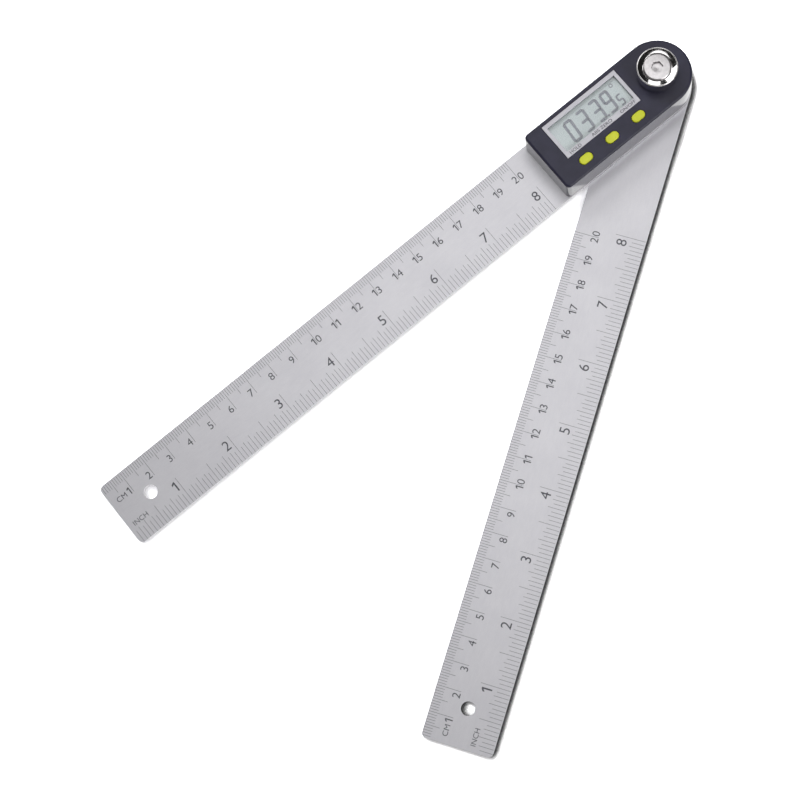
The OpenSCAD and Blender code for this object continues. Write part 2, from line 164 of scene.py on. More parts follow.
# Studio. Two soft boxes stand beyond the finder's head, one on the reader's right,
# and a round one hangs over it; the rest of the room is dark, as the knob shows. Metal
# mirrors the key box's dimmer screen and not its bulb, so that steel isn't burnt out.
picture_right = Vector((0.777, -0.629, 0))
picture_up = Vector((0.629, 0.777, 0))
lamp_aim = Vector((-70, -20, 0)) * mm
sky_dim = 0.012
card_bright = 0.7


def soft_box(name, azimuth, elevation, reach, width, depth, brightness, shape="RECTANGLE", mirrored=True):
    """A flat lamp: azimuth in degrees anticlockwise from the picture's right, sizes in metres."""
    turn, rise = math.radians(azimuth), math.radians(elevation)
    level = picture_right * math.cos(turn) + picture_up * math.sin(turn)
    place = lamp_aim + (level * math.cos(rise) + Vector((0, 0, math.sin(rise)))) * reach
    aim = (lamp_aim - place).to_track_quat("-Z", "Y").to_euler()
    bpy.ops.object.light_add(type="AREA", location=place, rotation=aim)
    lamp = bpy.context.object
    lamp.name = name
    lamp.data.shape = shape
    lamp.data.size = width
    lamp.data.size_y = depth
    fill = 1 if shape == "RECTANGLE" else math.pi / 4
    lamp.data.energy = brightness * math.pi * width * depth * fill
    lamp.visible_glossy = mirrored


soft_box("key_box", 125, 44, reach=4.0, width=2.1, depth=1.3, brightness=6.0, mirrored=False)
soft_box("key_screen", 125, 44, reach=3.9, width=2.1, depth=1.3, brightness=3.0)
soft_box("far_box", 81, 37, reach=4.0, width=1.3, depth=1.1, brightness=1.5)
soft_box("fill_box", -35, 38, reach=4.0, width=2.3, depth=1.7, brightness=6.0)
soft_box("overhead_box", 84, 80, reach=1.3, width=1.0, depth=1.0, brightness=1.62, shape="ELLIPSE")

world = bpy.data.worlds.new("studio_room")
bpy.context.scene.world = world
world.use_nodes = True
sky = Wire(world.node_tree).node("ShaderNodeTexCoord", {}, {}, "Generated")
far = sky.node("ShaderNodeVectorMath", {"operation": "DOT_PRODUCT"}, {0: sky, 1: picture_up}, "Value")
rise = sky.node("ShaderNodeSeparateXYZ", {}, {0: sky}, "Z")
# A white card stands low on the reader's side, and the world below is white
card = far.span(-0.5, 0.0, 1.0, 0.0) * rise.span(0.2, 0.35, 1.0, 0.0)
room = sky_dim + card_bright * card
below = rise.span(-0.02, 0.0, 1.0, 0.0)
direct = sky.node("ShaderNodeLightPath", {}, {}, "Is Camera Ray")
strength = direct + (1 - direct) * (below + (1 - below) * room)
world.node_tree.links.new(strength.socket, world.node_tree.nodes["Background"].inputs["Strength"])
world.node_tree.nodes["Background"].inputs["Color"].default_value = (1, 1, 1, 1)
bpy.context.scene.view_settings.view_transform = "Standard"


# Rules. Two strips of satin stainless steel, stamped out with a round pivot
# end and a hanging hole, then ground and blasted to a fine frosted face.
def new_material(name, pattern, constants=None):
    """A Principled material: constants are set on its sockets, and pattern returns its wired ones."""
    material = bpy.data.materials.new(name)
    material.use_nodes = True
    shader = material.node_tree.nodes["Principled BSDF"]
    for socket, value in (constants or {}).items():
        shader.inputs[socket].default_value = value
    place = Wire(material.node_tree).node("ShaderNodeTexCoord", {}, {}, "Object")
    for socket, wire in pattern(place).items():
        material.node_tree.links.new(wire.socket, shader.inputs[socket])
    return material


def noise(place, grain, detail=2.0, stretch=(1, 1, 1), turn=0.0):
    """Fractal noise whose features are about grain long, turned and stretched on the piece."""
    sockets = {"Vector": place, "Rotation": (0, 0, turn), "Scale": stretch}
    moved = place.node("ShaderNodeMapping", {"vector_type": "TEXTURE"}, sockets)
    return place.node("ShaderNodeTexNoise", {}, {"Vector": moved, "Scale": 1 / grain, "Detail": detail})


def blend_colours(factor, first, second):
    """A colour between two colours or wires of colours."""
    sockets = {0: factor, 6: first, 7: second}
    return Wire(factor.tree).node("ShaderNodeMix", {"data_type": "RGBA"}, sockets, 2)


def bumped(height, depth):
    """A normal that follows a height from 0 to 1 over the given depth."""
    return height.node("ShaderNodeBump", {}, {"Height": height, "Distance": depth, "Strength": 1.0}, "Normal")


steel_bright = colour(224, 223, 227)
steel_dull = colour(213, 212, 217)


def steel_pattern(turn):
    """Frosted steel whose grinding lines run along a rule that is turned by that angle."""
    def pattern(place):
        frost = noise(place, 0.16 * mm, 3)
        lines = noise(place, 0.09 * mm, 2, (40, 1, 1), turn)
        patches = noise(place, 14 * mm, 3)
        handling = noise(place, 1.6 * mm, 5, (2.5, 1, 1), turn)
        tone = patches * 0.25 + handling * 0.2 + frost * 0.35 + lines * 0.2
        return {
            "Base Color": blend_colours(tone.span(0.38, 0.62), steel_dull, steel_bright),
            "Roughness": 0.42 + 0.05 * handling + 0.06 * frost,
            "Normal": bumped(frost * 0.7 + lines * 0.3, 0.004 * mm),
        }
    return pattern


def select_only(piece):
    bpy.ops.object.select_all(action="DESELECT")
    piece.select_set(True)
    bpy.context.view_layer.objects.active = piece


def begin(piece):
    """Opens the piece in edit mode, as new operators need it."""
    select_only(piece)
    bpy.ops.object.mode_set(mode="EDIT")


def pick(kind, wanted):
    """In edit mode, selects the verts, edges or faces that pass the test."""
    piece = bpy.context.edit_object
    bpy.context.tool_settings.mesh_select_mode = [kind == name for name in ("verts", "edges", "faces")]
    bpy.ops.mesh.select_all(action="DESELECT")
    mesh = bmesh.from_edit_mesh(piece.data)
    for part in getattr(mesh, kind):
        part.select_set(wanted(part))
    mesh.select_flush_mode()
    bmesh.update_edit_mesh(piece.data)


def finish_edit():
    bpy.ops.object.mode_set(mode="OBJECT")


def middle(edge):
    return (edge.verts[0].co + edge.verts[1].co) / 2


def upright(edge):
    return abs(edge.verts[0].co.z - edge.verts[1].co.z) > 0.9 * edge.calc_length()


def block(name, low, high):
    """A cube primitive stretched from corner to corner, with its place in its mesh."""
    low, high = Vector(low), Vector(high)
    bpy.ops.mesh.primitive_cube_add(size=1, location=(low + high) / 2, scale=high - low)
    bpy.ops.object.transform_apply(location=True, rotation=True, scale=True)
    bpy.context.object.name = name
    return bpy.context.object


weld = 0.01 * mm
bevel_spare = 0.002 * mm


def round_corners(wanted, radius, segments):
    """In edit mode, rounds the upright edges whose middle passes the test.

    A full half round takes a radius less by bevel_spare, so that its two bevels don't meet.
    """
    pick("edges", lambda edge: upright(edge) and wanted(middle(edge)))
    bpy.ops.mesh.bevel(offset=radius, segments=segments, profile=0.5, affect="EDGES")
    pick("verts", lambda vert: True)
    bpy.ops.mesh.remove_doubles(threshold=weld)


def drill(name, x, y, radius, low, high, sides=64, top_radius=None):
    """A straight or tapering cutter that stands upright."""
    top = radius if top_radius is None else top_radius
    place = (x, y, (low + high) / 2)
    bpy.ops.mesh.primitive_cone_add(
        vertices=sides, radius1=radius, radius2=top, depth=high - low, location=place
    )
    bpy.ops.object.transform_apply(location=True, rotation=True, scale=True)
    bpy.context.object.name = name
    return bpy.context.object


def cut(piece, *cutters):
    """Takes each cutter's shape out of the piece."""
    for cutter in cutters:
        select_only(piece)
        modifier = piece.modifiers.new("cut", "BOOLEAN")
        modifier.operation = "DIFFERENCE"
        modifier.solver = "EXACT"
        modifier.object = cutter
        bpy.ops.object.modifier_apply(modifier=modifier.name)
        bpy.data.objects.remove(cutter)


def ease_edges(piece, width, segments=2, angle=35):
    """Breaks every edge sharper than the angle by a small bevel."""
    select_only(piece)
    modifier = piece.modifiers.new("ease", "BEVEL")
    modifier.width = width
    modifier.segments = segments
    modifier.limit_method = "ANGLE"
    modifier.angle_limit = math.radians(angle)
    bpy.ops.object.modifier_apply(modifier=modifier.name)


def shade(piece, material, angle=40):
    """Smooths the piece up to an angle, keeps its flats flat, and gives it its material."""
    select_only(piece)
    bpy.ops.object.shade_smooth_by_angle(angle=math.radians(angle))
    modifier = piece.modifiers.new("flats", "WEIGHTED_NORMAL")
    modifier.keep_sharp = True
    bpy.ops.object.modifier_apply(modifier=modifier.name)
    piece.data.materials.clear()
    piece.data.materials.append(material)


def turn_with_lower_rule(piece):
    """Turns a piece that was made along -X to where the lower rule stands open."""
    select_only(piece)
    piece.rotation_euler.z = arm_turn
    bpy.ops.object.transform_apply(location=True, rotation=True, scale=True)


def mount(name):
    return next(entry for entry in frame["record"]["mounts"] if entry["name"] == name)


def rule_blank(name, back):
    """A rule along -X with its hanging hole, standing at the height of its back."""
    piece = block(name, (-rule_reach, -rule_w / 2, back), (rule_w / 2, rule_w / 2, back + rule_t))
    begin(piece)
    round_corners(lambda place: place.x < 0, tip_corner, segments=8)
    round_corners(lambda place: place.x > 0, rule_w / 2 - bevel_spare, segments=48)
    finish_edit()
    cut(piece, drill("hang_hole", hang_x, 0, hang_r, back - mm, back + rule_t + mm))
    return piece


upper_low, upper_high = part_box("upper_blade")
rule_w = upper_high.y - upper_low.y
rule_t = upper_high.z - upper_low.z
rule_reach = -upper_low.x
tip_corner = 2 * mm
rule_edge = 0.12 * mm
upper_hole = mount("upper_hang_hole")
lower_hole = mount("lower_hang_hole")
hang_x = upper_hole["pos_m"][0]
hang_r = upper_hole["dims"]["r_mm"] * mm
arm_turn = math.atan2(-lower_hole["pos_m"][1], -lower_hole["pos_m"][0])

bush_r = 6.5 * mm
cover_low, cover_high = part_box("battery_cover")
cell_x = (cover_low.x + cover_high.x) / 2
collar_gap = 0.1 * mm
collar_r = 11.55 * mm
screw_low, screw_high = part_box("housing_screws")
screw_head_r = 1.9 * mm
screw_r = 1 * mm
screw_sink = 0.2 * mm
tail_screw_y = 9.3 * mm
screw_places = [
    (screw_low.x + screw_head_r, side * tail_screw_y) for side in (-1, 1)
] + [
    (screw_high.x - screw_head_r, side * (screw_high.y - screw_head_r)) for side in (-1, 1)
]

upper_rule = rule_blank("upper_rule", upper_low.z)
above, under = upper_high.z + mm, upper_low.z - mm
cut(upper_rule, drill("bush_hole", 0, 0, bush_r, under, above))
cut(upper_rule, drill("battery_hole", cell_x, 0, collar_r + collar_gap, under, above, sides=96))
for x, y in screw_places:
    wide, narrow = screw_head_r + collar_gap, screw_r + collar_gap
    sink = upper_low.z + screw_sink
    cut(upper_rule, drill("clearance", x, y, narrow, under, above, sides=32))
    cut(upper_rule, drill("countersink", x, y, wide, sink, sink + wide - narrow, sides=32, top_radius=narrow))
    cut(upper_rule, drill("counterbore", x, y, wide, under, sink, sides=32))
ease_edges(upper_rule, rule_edge)
shade(upper_rule, new_material("rule_steel", steel_pattern(0), {"Metallic": 1.0}))
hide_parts("upper_blade")
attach(upper_rule, "upper_arm")

lower_low, lower_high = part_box("lower_blade")
shaft_r = 5 * mm
foot_r = 8.55 * mm
foot_t = 0.8 * mm
lower_rule = rule_blank("lower_rule", lower_low.z)
cut(lower_rule, drill("shaft_hole", 0, 0, shaft_r, lower_low.z - mm, lower_high.z + mm))
cut(lower_rule, drill("foot_seat", 0, 0, foot_r, lower_low.z - mm, lower_low.z + foot_t))
ease_edges(lower_rule, rule_edge)
turn_with_lower_rule(lower_rule)
shade(lower_rule, new_material("rule_steel_lower", steel_pattern(arm_turn), {"Metallic": 1.0}))
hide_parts("lower_blade")
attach(lower_rule, "lower_arm")


# Scales. Centimetres run along one edge of each rule and inches along the
# other, both from the free end; lines and numbers are burnt in as a grey film.
ink_t = 0.012 * mm
inch = 25.4 * mm
cm = 10 * mm
line_w = 0.13 * mm
line_edge_gap = 0.15 * mm
number_size = 5 * mm
cm_number_h = 3 * mm
cm_number_edge = 6.7 * mm
inch_number_h = 4 * mm
inch_number_edge = 7 * mm
inch_number_gap = 1.3 * mm
number_gap = 0.8 * mm
one_stroke = 0.15
one_flag = Vector((-0.24, -0.15, 0))
cm_count = 20
mm_line, half_cm_line, cm_line = 3.4 * mm, 5.7 * mm, 9.4 * mm
inch_count = 8
inch_line = 11.7 * mm
inch_part_lines = {16: 5.0 * mm, 8: 5.8 * mm, 4: 6.7 * mm, 2: 8.4 * mm}
cm_word_place = Vector((2.8, 0.3, 0)) * mm
cm_word_w, cm_word_h = 4.3 * mm, 2.1 * mm
inch_word_x = 2.4 * mm
inch_word_w, inch_word_h = 6.6 * mm, 2 * mm


def ink_pattern(place):
    worn = noise(place, 0.5 * mm, 4)
    speck = noise(place, 0.1 * mm, 2)
    tone = worn * 0.6 + speck * 0.4
    return {
        "Base Color": blend_colours(tone.span(0.35, 0.65), colour(112, 112, 118), colour(78, 78, 84)),
        "Roughness": 0.5 + 0.25 * speck,
        "Normal": bumped(speck, 0.002 * mm),
    }


scale_ink = new_material("scale_ink", ink_pattern, {"Metallic": 0.4})


def line_row(first, pitch, count, length, side):
    """Lines at one pitch from the edge inwards: one line, then an array of it. side is 1 or -1."""
    x = first - rule_reach
    outer = rule_w / 2 - line_edge_gap
    low_y, high_y = sorted((side * outer, side * (outer - length)))
    top = upper_high.z
    line = block("line", (x - line_w / 2, low_y, top), (x + line_w / 2, high_y, top + ink_t))
    modifier = line.modifiers.new("row", "ARRAY")
    modifier.use_relative_offset = False
    modifier.use_constant_offset = True
    modifier.constant_offset_displace = (pitch, 0, 0)
    modifier.count = count
    bpy.ops.object.modifier_apply(modifier=modifier.name)
    return line


def lettering(text, height, x, y, top, anchor=0.0, width=None, heavier=0.0):
    """Flat raised characters whose box is height tall and stands at x, y: anchor 0 left, 1 right."""
    bpy.ops.object.text_add()
    piece = bpy.context.object
    piece.data.body = text
    piece.data.size = number_size
    piece.data.resolution_u = 4
    piece.data.extrude = ink_t / 2
    piece.data.offset = heavier
    bpy.ops.object.convert(target="MESH")
    piece = bpy.context.object
    corners = [Vector(corner) for corner in piece.bound_box]
    low = Vector([min(corner[axis] for corner in corners) for axis in range(3)])
    high = Vector([max(corner[axis] for corner in corners) for axis in range(3)])
    grow = height / (high.y - low.y)
    widen = grow if width is None else width / (high.x - low.x)
    piece.scale = (widen, grow, 1)
    wide = (high.x - low.x) * widen
    piece.location = (x - low.x * widen - anchor * wide, y - low.y * grow, top - low.z)
    bpy.ops.object.transform_apply(location=True, rotation=True, scale=True)
    return piece


def figure_one(height, x, y, top, anchor=0.0):
    """A 1: an upright stroke, whose upper left side is pulled out to a falling flag."""
    stroke = one_stroke * height
    flag = one_flag * height
    left = x - anchor * (stroke - flag.x) - flag.x
    piece = block("one", (left, y, top), (left + stroke, y + height, top + ink_t))
    begin(piece)
    notch = y + (1 - one_stroke * 1.3) * height
    pick("faces", lambda face: True)
    bpy.ops.mesh.bisect(plane_co=(left, notch, top), plane_no=(0, 1, 0))
    pick("faces", lambda face: face.normal.x < -0.9 and face.calc_center_median().y > notch)
    bpy.ops.mesh.extrude_region_move(TRANSFORM_OT_translate={"value": flag})
    finish_edit()
    return piece


def number(value, height, x, y, top, anchor):
    """A numeral of one character."""
    if value == 1:
        return figure_one(height, x, y, top, anchor)
    return lettering(str(value), height, x, y, top, anchor)


def join(name, parts):
    """Makes one object of several."""
    bpy.ops.object.select_all(action="DESELECT")
    for part in parts:
        part.select_set(True)
    bpy.context.view_layer.objects.active = parts[0]
    bpy.ops.object.join()
    parts[0].name = name
    return parts[0]


def scale_print(name):
    """Both scales of a rule that lies where the upper one does."""
    top = upper_high.z
    parts = [line_row(k * mm, cm / 2, 2 * cm_count, mm_line, 1) for k in (1, 2, 3, 4)]
    parts.append(line_row(cm / 2, cm, cm_count, half_cm_line, 1))
    parts.append(line_row(cm, cm, cm_count, cm_line, 1))
    for divisions, length in inch_part_lines.items():
        count = inch_count * divisions // 2
        parts.append(line_row(inch / divisions, 2 * inch / divisions, count, length, -1))
    parts.append(line_row(inch, inch, inch_count, inch_line, -1))
    number_y = rule_w / 2 - cm_number_edge - cm_number_h
    inch_number_y = inch_number_edge - rule_w / 2
    for k in range(1, cm_count + 1):
        x = k * cm - rule_reach
        tens, units = divmod(k, 10)
        if tens:
            parts.append(number(tens, cm_number_h, x - number_gap / 2, number_y, top, 1))
            parts.append(number(units, cm_number_h, x + number_gap / 2, number_y, top, 0))
        else:
            parts.append(number(units, cm_number_h, x - number_gap, number_y, top, 1))
    for k in range(1, inch_count + 1):
        x = k * inch - rule_reach - inch_number_gap
        parts.append(number(k, inch_number_h, x, inch_number_y, top, 1))
    x, y = cm_word_place.x - rule_reach, number_y + cm_word_place.y
    parts.append(lettering("CM", cm_word_h, x, y, top, 0, cm_word_w))
    x = inch_word_x - rule_reach
    parts.append(lettering("INCH", inch_word_h, x, inch_number_y, top, 0, inch_word_w))
    return join(name, parts)


upper_print = scale_print("upper_scale_print")
shade(upper_print, scale_ink)
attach(upper_print, "upper_arm")

lower_print = scale_print("lower_scale_print")
lower_print.location.z = lower_high.z - upper_high.z
turn_with_lower_rule(lower_print)
shade(lower_print, scale_ink)
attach(lower_print, "lower_arm")


# Head cover. A moulded shell of dark ABS with a fine spark-eroded grain: its
# walls lean in a little, its top edge is rounded, and it is open to the rule.
head_low, head_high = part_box("head_cover")
head_tail = -head_low.x
head_w = head_high.y - head_low.y
head_corner = 2 * mm
head_draft = 0.15 * mm
head_edge = 1 * mm
head_wall = 1.6 * mm
roof_t = 1.5 * mm
opening_edge = 0.1 * mm


def moulded_plastic(dark, light, grain, depth, rough, wall_top=None, wall_rough=None):
    """Moulded plastic with an even fine grain; below wall_top its walls may be smoother."""
    def pattern(place):
        cells = noise(place, grain, 3)
        tone = noise(place, 6 * mm, 3)
        roughness, height = rough - 0.06 + 0.12 * cells, cells
        if wall_top is not None:
            level = place.node("ShaderNodeSeparateXYZ", {}, {0: place}, "Z")
            on_top = level.span(wall_top - 0.1 * mm, wall_top + 0.1 * mm)
            roughness = wall_rough + 0.06 * cells + on_top * (roughness - wall_rough)
            height = cells * (0.1 + 0.9 * on_top)
        wires = {
            "Base Color": blend_colours((tone * 0.7 + cells * 0.3).span(0.35, 0.65), dark, light),
            "Roughness": roughness,
            "Normal": bumped(height, depth),
        }
        return wires if wall_top is None else wires | {"Coat Weight": 1 - on_top}
    return pattern


def tapered_tongue(name, reach, width, corner, draft, low, high):
    """A tongue's outline at its foot, inset and raised in one step so that its walls lean in."""
    bpy.ops.mesh.primitive_plane_add(size=1, location=((width / 2 - reach) / 2, 0, low))
    piece = bpy.context.object
    piece.name = name
    piece.scale = (reach + width / 2, width, 1)
    bpy.ops.object.transform_apply(location=True, rotation=True, scale=True)
    begin(piece)
    pick("verts", lambda vert: vert.co.x < 0)
    bpy.ops.mesh.bevel(offset=corner, segments=10, profile=0.5, affect="VERTICES")
    pick("verts", lambda vert: vert.co.x > width / 2 - 0.01 * mm)
    bpy.ops.mesh.bevel(offset=width / 2 - bevel_spare, segments=48, profile=0.5, affect="VERTICES")
    pick("verts", lambda vert: True)
    bpy.ops.mesh.remove_doubles(threshold=weld)
    pick("faces", lambda face: True)
    bpy.ops.mesh.inset(thickness=draft, depth=high - low, use_even_offset=True)
    pick("verts", lambda vert: vert.co.z < low + 0.001 * mm)
    bpy.ops.mesh.edge_face_add()
    pick("faces", lambda face: True)
    bpy.ops.mesh.normals_make_consistent(inside=False)
    return piece


def stadium(name, x, y, length, width, low, high, segments=16):
    """An upright block with fully round ends."""
    piece = block(name, (x - length / 2, y - width / 2, low), (x + length / 2, y + width / 2, high))
    begin(piece)
    round_corners(lambda place: True, width / 2 - bevel_spare, segments)
    finish_edit()
    return piece


head_plastic = new_material(
    "head_plastic",
    moulded_plastic(
        colour(36, 35, 53), colour(45, 44, 64), grain=0.11 * mm, depth=0.005 * mm, rough=0.38,
        wall_top=head_high.z - head_edge, wall_rough=0.08,
    ),
    {"Specular IOR Level": 0.42, "Coat Roughness": 0.1, "Coat IOR": 1.6},
)

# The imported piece's screw posts and ribs are out of sight, and are left out here
head_shell = tapered_tongue(
    "head_shell", head_tail, head_w, head_corner, head_draft, head_low.z, head_high.z
)
pick("edges", lambda edge: min(vert.co.z for vert in edge.verts) > head_high.z - 0.001 * mm)
bpy.ops.mesh.bevel(offset=head_edge, segments=8, profile=0.5, affect="EDGES")
finish_edit()

bezel_low, bezel_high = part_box("display_bezel")
lens_low, lens_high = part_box("display_window")
key_nodes = ("power_button", "hold_button", "zero_button")
key_flange = 0.7 * mm
key_gap = 0.2 * mm
shaft_gap = 0.3 * mm
lift = Vector((0, 0, mm))
cavity = block(
    "cavity", (head_wall - head_tail, head_wall - head_w / 2, head_low.z - mm),
    (head_w / 2 - head_wall, head_w / 2 - head_wall, head_high.z - roof_t),
)
begin(cavity)
round_corners(lambda place: place.x > 0, head_w / 2 - head_wall - bevel_spare, segments=32)
finish_edit()
seat_gap = Vector((0.15, 0.15, 0)) * mm
cut(head_shell, cavity)
cut(head_shell, block("bezel_seat", bezel_low - seat_gap, bezel_high + seat_gap + lift))
cut(head_shell, block("lens_seat", lens_low - seat_gap - lift, lens_high + seat_gap + lift))
roof_low, roof_high = head_high.z - 2 * roof_t, head_high.z + mm
for node in key_nodes:
    low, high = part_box(node)
    size = high - low - 2 * Vector((key_flange - key_gap, key_flange - key_gap, 0))
    x, y = (low.x + high.x) / 2, (low.y + high.y) / 2
    cut(head_shell, stadium("key_opening", x, y, size.x, size.y, roof_low, roof_high))
cut(head_shell, drill("shaft_opening", 0, 0, shaft_r + shaft_gap, roof_low, roof_high))
ease_edges(head_shell, opening_edge)
shade(head_shell, head_plastic)
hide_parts("head_cover")
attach(head_shell, "upper_arm")


# Silver frame. A thin moulded frame, painted silver and pressed into its seat
# round the display; its wide lower side carries a small word over each key.
frame_edge = 0.12 * mm
window_rim = 0.3 * mm
word_h = 1.3 * mm
word_y = bezel_low.y + 0.5 * mm
word_offset = -0.5 * mm
word_heavier = 0.04 * mm
words = {
    "hold_button": ("HOLD", 5.3 * mm),
    "zero_button": ("ABS ZERO", 9.8 * mm),
    "power_button": ("ON/OFF", 7.2 * mm),
}


def silver_pattern(place):
    flake = noise(place, 0.06 * mm, 1)
    cloud = noise(place, 5 * mm, 3)
    return {
        "Base Color": blend_colours(
            (flake * 0.5 + cloud * 0.5).span(0.35, 0.65), colour(194, 193, 200), colour(210, 209, 215)
        ),
        "Roughness": 0.38 + 0.14 * flake,
        "Normal": bumped(flake, 0.002 * mm),
    }


silver_trim = new_material("silver_trim", silver_pattern, {"Metallic": 0.35})
silver_frame = block("silver_frame", bezel_low, bezel_high)
inner = Vector((window_rim, window_rim, 0))
cut(silver_frame, block("window", lens_low + inner - lift, lens_high - inner + 2 * lift))
ease_edges(silver_frame, frame_edge, segments=3)
shade(silver_frame, silver_trim)
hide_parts("display_bezel")
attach(silver_frame, "upper_arm")

word_parts = []
for node, (word, width) in words.items():
    low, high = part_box(node)
    x = (low.x + high.x) / 2 + word_offset
    word_parts.append(lettering(word, word_h, x, word_y, bezel_high.z, 0.5, width, word_heavier))
key_words = join("key_words", word_parts)
shade(key_words, scale_ink)
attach(key_words, "upper_arm")


# Display. A clear acrylic pane is glued under the frame, and the liquid crystal
# glass lies a little below it, grey-green with seven-bar figures.
pane_edge = 0.06 * mm
crystal_edge = 0.1 * mm


def pane_pattern(place):
    smear = noise(place, 4 * mm, 3)
    return {"Roughness": smear.span(0.3, 0.7, 0.02, 0.09)}


clear_lens = new_material(
    "clear_lens", pane_pattern,
    {"Base Color": (1, 1, 1, 1), "IOR": 1.49, "Transmission Weight": 1.0},
)
# Lamps' light and light scattered from the glass below pass through it unbent
lens_tree = Wire(clear_lens.node_tree)
lens_glass = Wire(clear_lens.node_tree, clear_lens.node_tree.nodes["Principled BSDF"].outputs[0])
lamp_ray = lens_tree.node("ShaderNodeLightPath", {}, {}, "Is Shadow Ray")
scattered = lens_tree.node("ShaderNodeLightPath", {}, {}, "Is Diffuse Ray")
unbent = lens_tree.math("MAXIMUM", lamp_ray, scattered)
open_way = lens_tree.node("ShaderNodeBsdfTransparent", {}, {})
through = lens_tree.node("ShaderNodeMixShader", {}, {0: unbent, 1: lens_glass, 2: open_way})
lens_output = clear_lens.node_tree.nodes["Material Output"]
clear_lens.node_tree.links.new(through.socket, lens_output.inputs["Surface"])

lens_pane = block("lens_pane", lens_low, lens_high)
ease_edges(lens_pane, pane_edge)
shade(lens_pane, clear_lens)
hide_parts("display_window")
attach(lens_pane, "upper_arm")


def crystal_pattern(place):
    film = noise(place, 0.25 * mm, 2)
    shade_off = noise(place, 8 * mm, 2)
    return {
        "Base Color": blend_colours(
            (film * 0.4 + shade_off * 0.6).span(0.35, 0.65), colour(176, 187, 189), colour(185, 196, 197)
        ),
        "Roughness": 0.3 + 0.15 * film,
        "Normal": bumped(film, 0.001 * mm),
    }


display_glass = new_material("display_glass", crystal_pattern, {"Specular IOR Level": 0.3})
lcd_low, lcd_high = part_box("lcd_panel")
crystal = block("crystal_glass", lcd_low, lcd_high)
ease_edges(crystal, crystal_edge)
shade(crystal, display_glass)
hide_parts("lcd_panel")
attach(crystal, "upper_arm")


def figure_pattern(place):
    film = noise(place, 0.3 * mm, 2)
    return {
        "Base Color": blend_colours(film.span(0.3, 0.7), colour(104, 109, 121), colour(114, 119, 130)),
        "Roughness": 0.35 + 0.1 * film,
    }


display_ink = new_material("display_ink", figure_pattern)
digit_h = 9.5 * mm
digit_w = 4.2 * mm
bar_w = 1.15 * mm
bar_gap = 0.06 * mm
digit_lean = 0.085
digit_foot = -1.35 * mm
digit_left = [-41.0 * mm, -34.9 * mm, -28.8 * mm, -23.4 * mm]
small_h = 5.0 * mm
small_w = 2.5 * mm
small_bar = 0.75 * mm
small_left = -18.2 * mm
point_gap = 0.75 * mm
bars_of = {"0": "abcdef", "3": "abcdg", "9": "abcdfg", "5": "acdfg"}


def bar(x, y, length, width, is_level):
    """One bar of a figure: a flat block whose ends are brought to points."""
    half = Vector((length, width, 0)) / 2 if is_level else Vector((width, length, 0)) / 2
    place = Vector((x, y, lcd_high.z))
    piece = block("bar", place - half, place + half + Vector((0, 0, ink_t)))
    begin(piece)
    pick("edges", upright)
    bpy.ops.mesh.bevel(offset=width / 2 - 0.005 * mm, segments=1, affect="EDGES")
    finish_edit()
    return piece


def figure(digit, left, height, width, thick):
    """The bars of one seven-bar digit, from its top bar a clockwise to f and the middle bar g."""
    across = width - thick
    rise = (height - thick) / 2
    x_left, x_right = left + thick / 2, left + width - thick / 2
    y_low, y_mid = digit_foot + thick / 2, digit_foot + height / 2
    y_high = digit_foot + height - thick / 2
    centre = left + width / 2
    places = {
        "a": (centre, y_high, True), "d": (centre, y_low, True), "g": (centre, y_mid, True),
        "b": (x_right, y_mid + rise / 2, False), "c": (x_right, y_mid - rise / 2, False),
        "e": (x_left, y_mid - rise / 2, False), "f": (x_left, y_mid + rise / 2, False),
    }
    parts = []
    for name in bars_of[digit]:
        x, y, is_level = places[name]
        length = (across if is_level else rise) - bar_gap
        parts.append(bar(x, y, length + thick / 2, thick, is_level))
    return parts


figures = []
for digit, left in zip("0339", digit_left):
    figures += figure(digit, left, digit_h, digit_w, bar_w)
figures += figure("5", small_left, small_h, small_w, small_bar)
point_x = digit_left[3] - point_gap
figures.append(bar(point_x, digit_foot + bar_w / 2, bar_w, bar_w, True))
digits = join("display_digits", figures)
lean = Matrix.Identity(4)
lean[0][1] = digit_lean
lean[0][3] = -digit_lean * digit_foot
digits.data.transform(lean)
shade(digits, display_ink)
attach(digits, "upper_arm")

degree_r = 0.65 * mm
degree_line_r = 0.2 * mm
degree_place = (-16.2 * mm, 7.9 * mm, lcd_high.z)
degree_flatness = 0.06
bpy.ops.mesh.primitive_torus_add(
    major_radius=degree_r, minor_radius=degree_line_r, major_segments=32, minor_segments=8,
    location=degree_place,
)
degree = bpy.context.object
degree.name = "degree_mark"
degree.scale.z = degree_flatness
bpy.ops.object.transform_apply(location=True, rotation=True, scale=True)
shade(degree, display_ink)
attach(degree, "upper_arm")


# Keys. Three caps of soft yellow-green plastic with round ends and a crowned
# top; a flange under the roof keeps each one in. The stem that presses the keypad is
# out of sight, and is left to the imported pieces.
flange_t = 0.75 * mm
flange_gap = 0.05 * mm
cap_edge = 0.35 * mm
cap_steps = 6
crown_rise = 0.12 * mm
crown_step = 0.42 * mm

key_plastic = new_material(
    "key_plastic", moulded_plastic(colour(206, 212, 44), colour(216, 222, 58), 0.14 * mm, 0.005 * mm, 0.45)
)


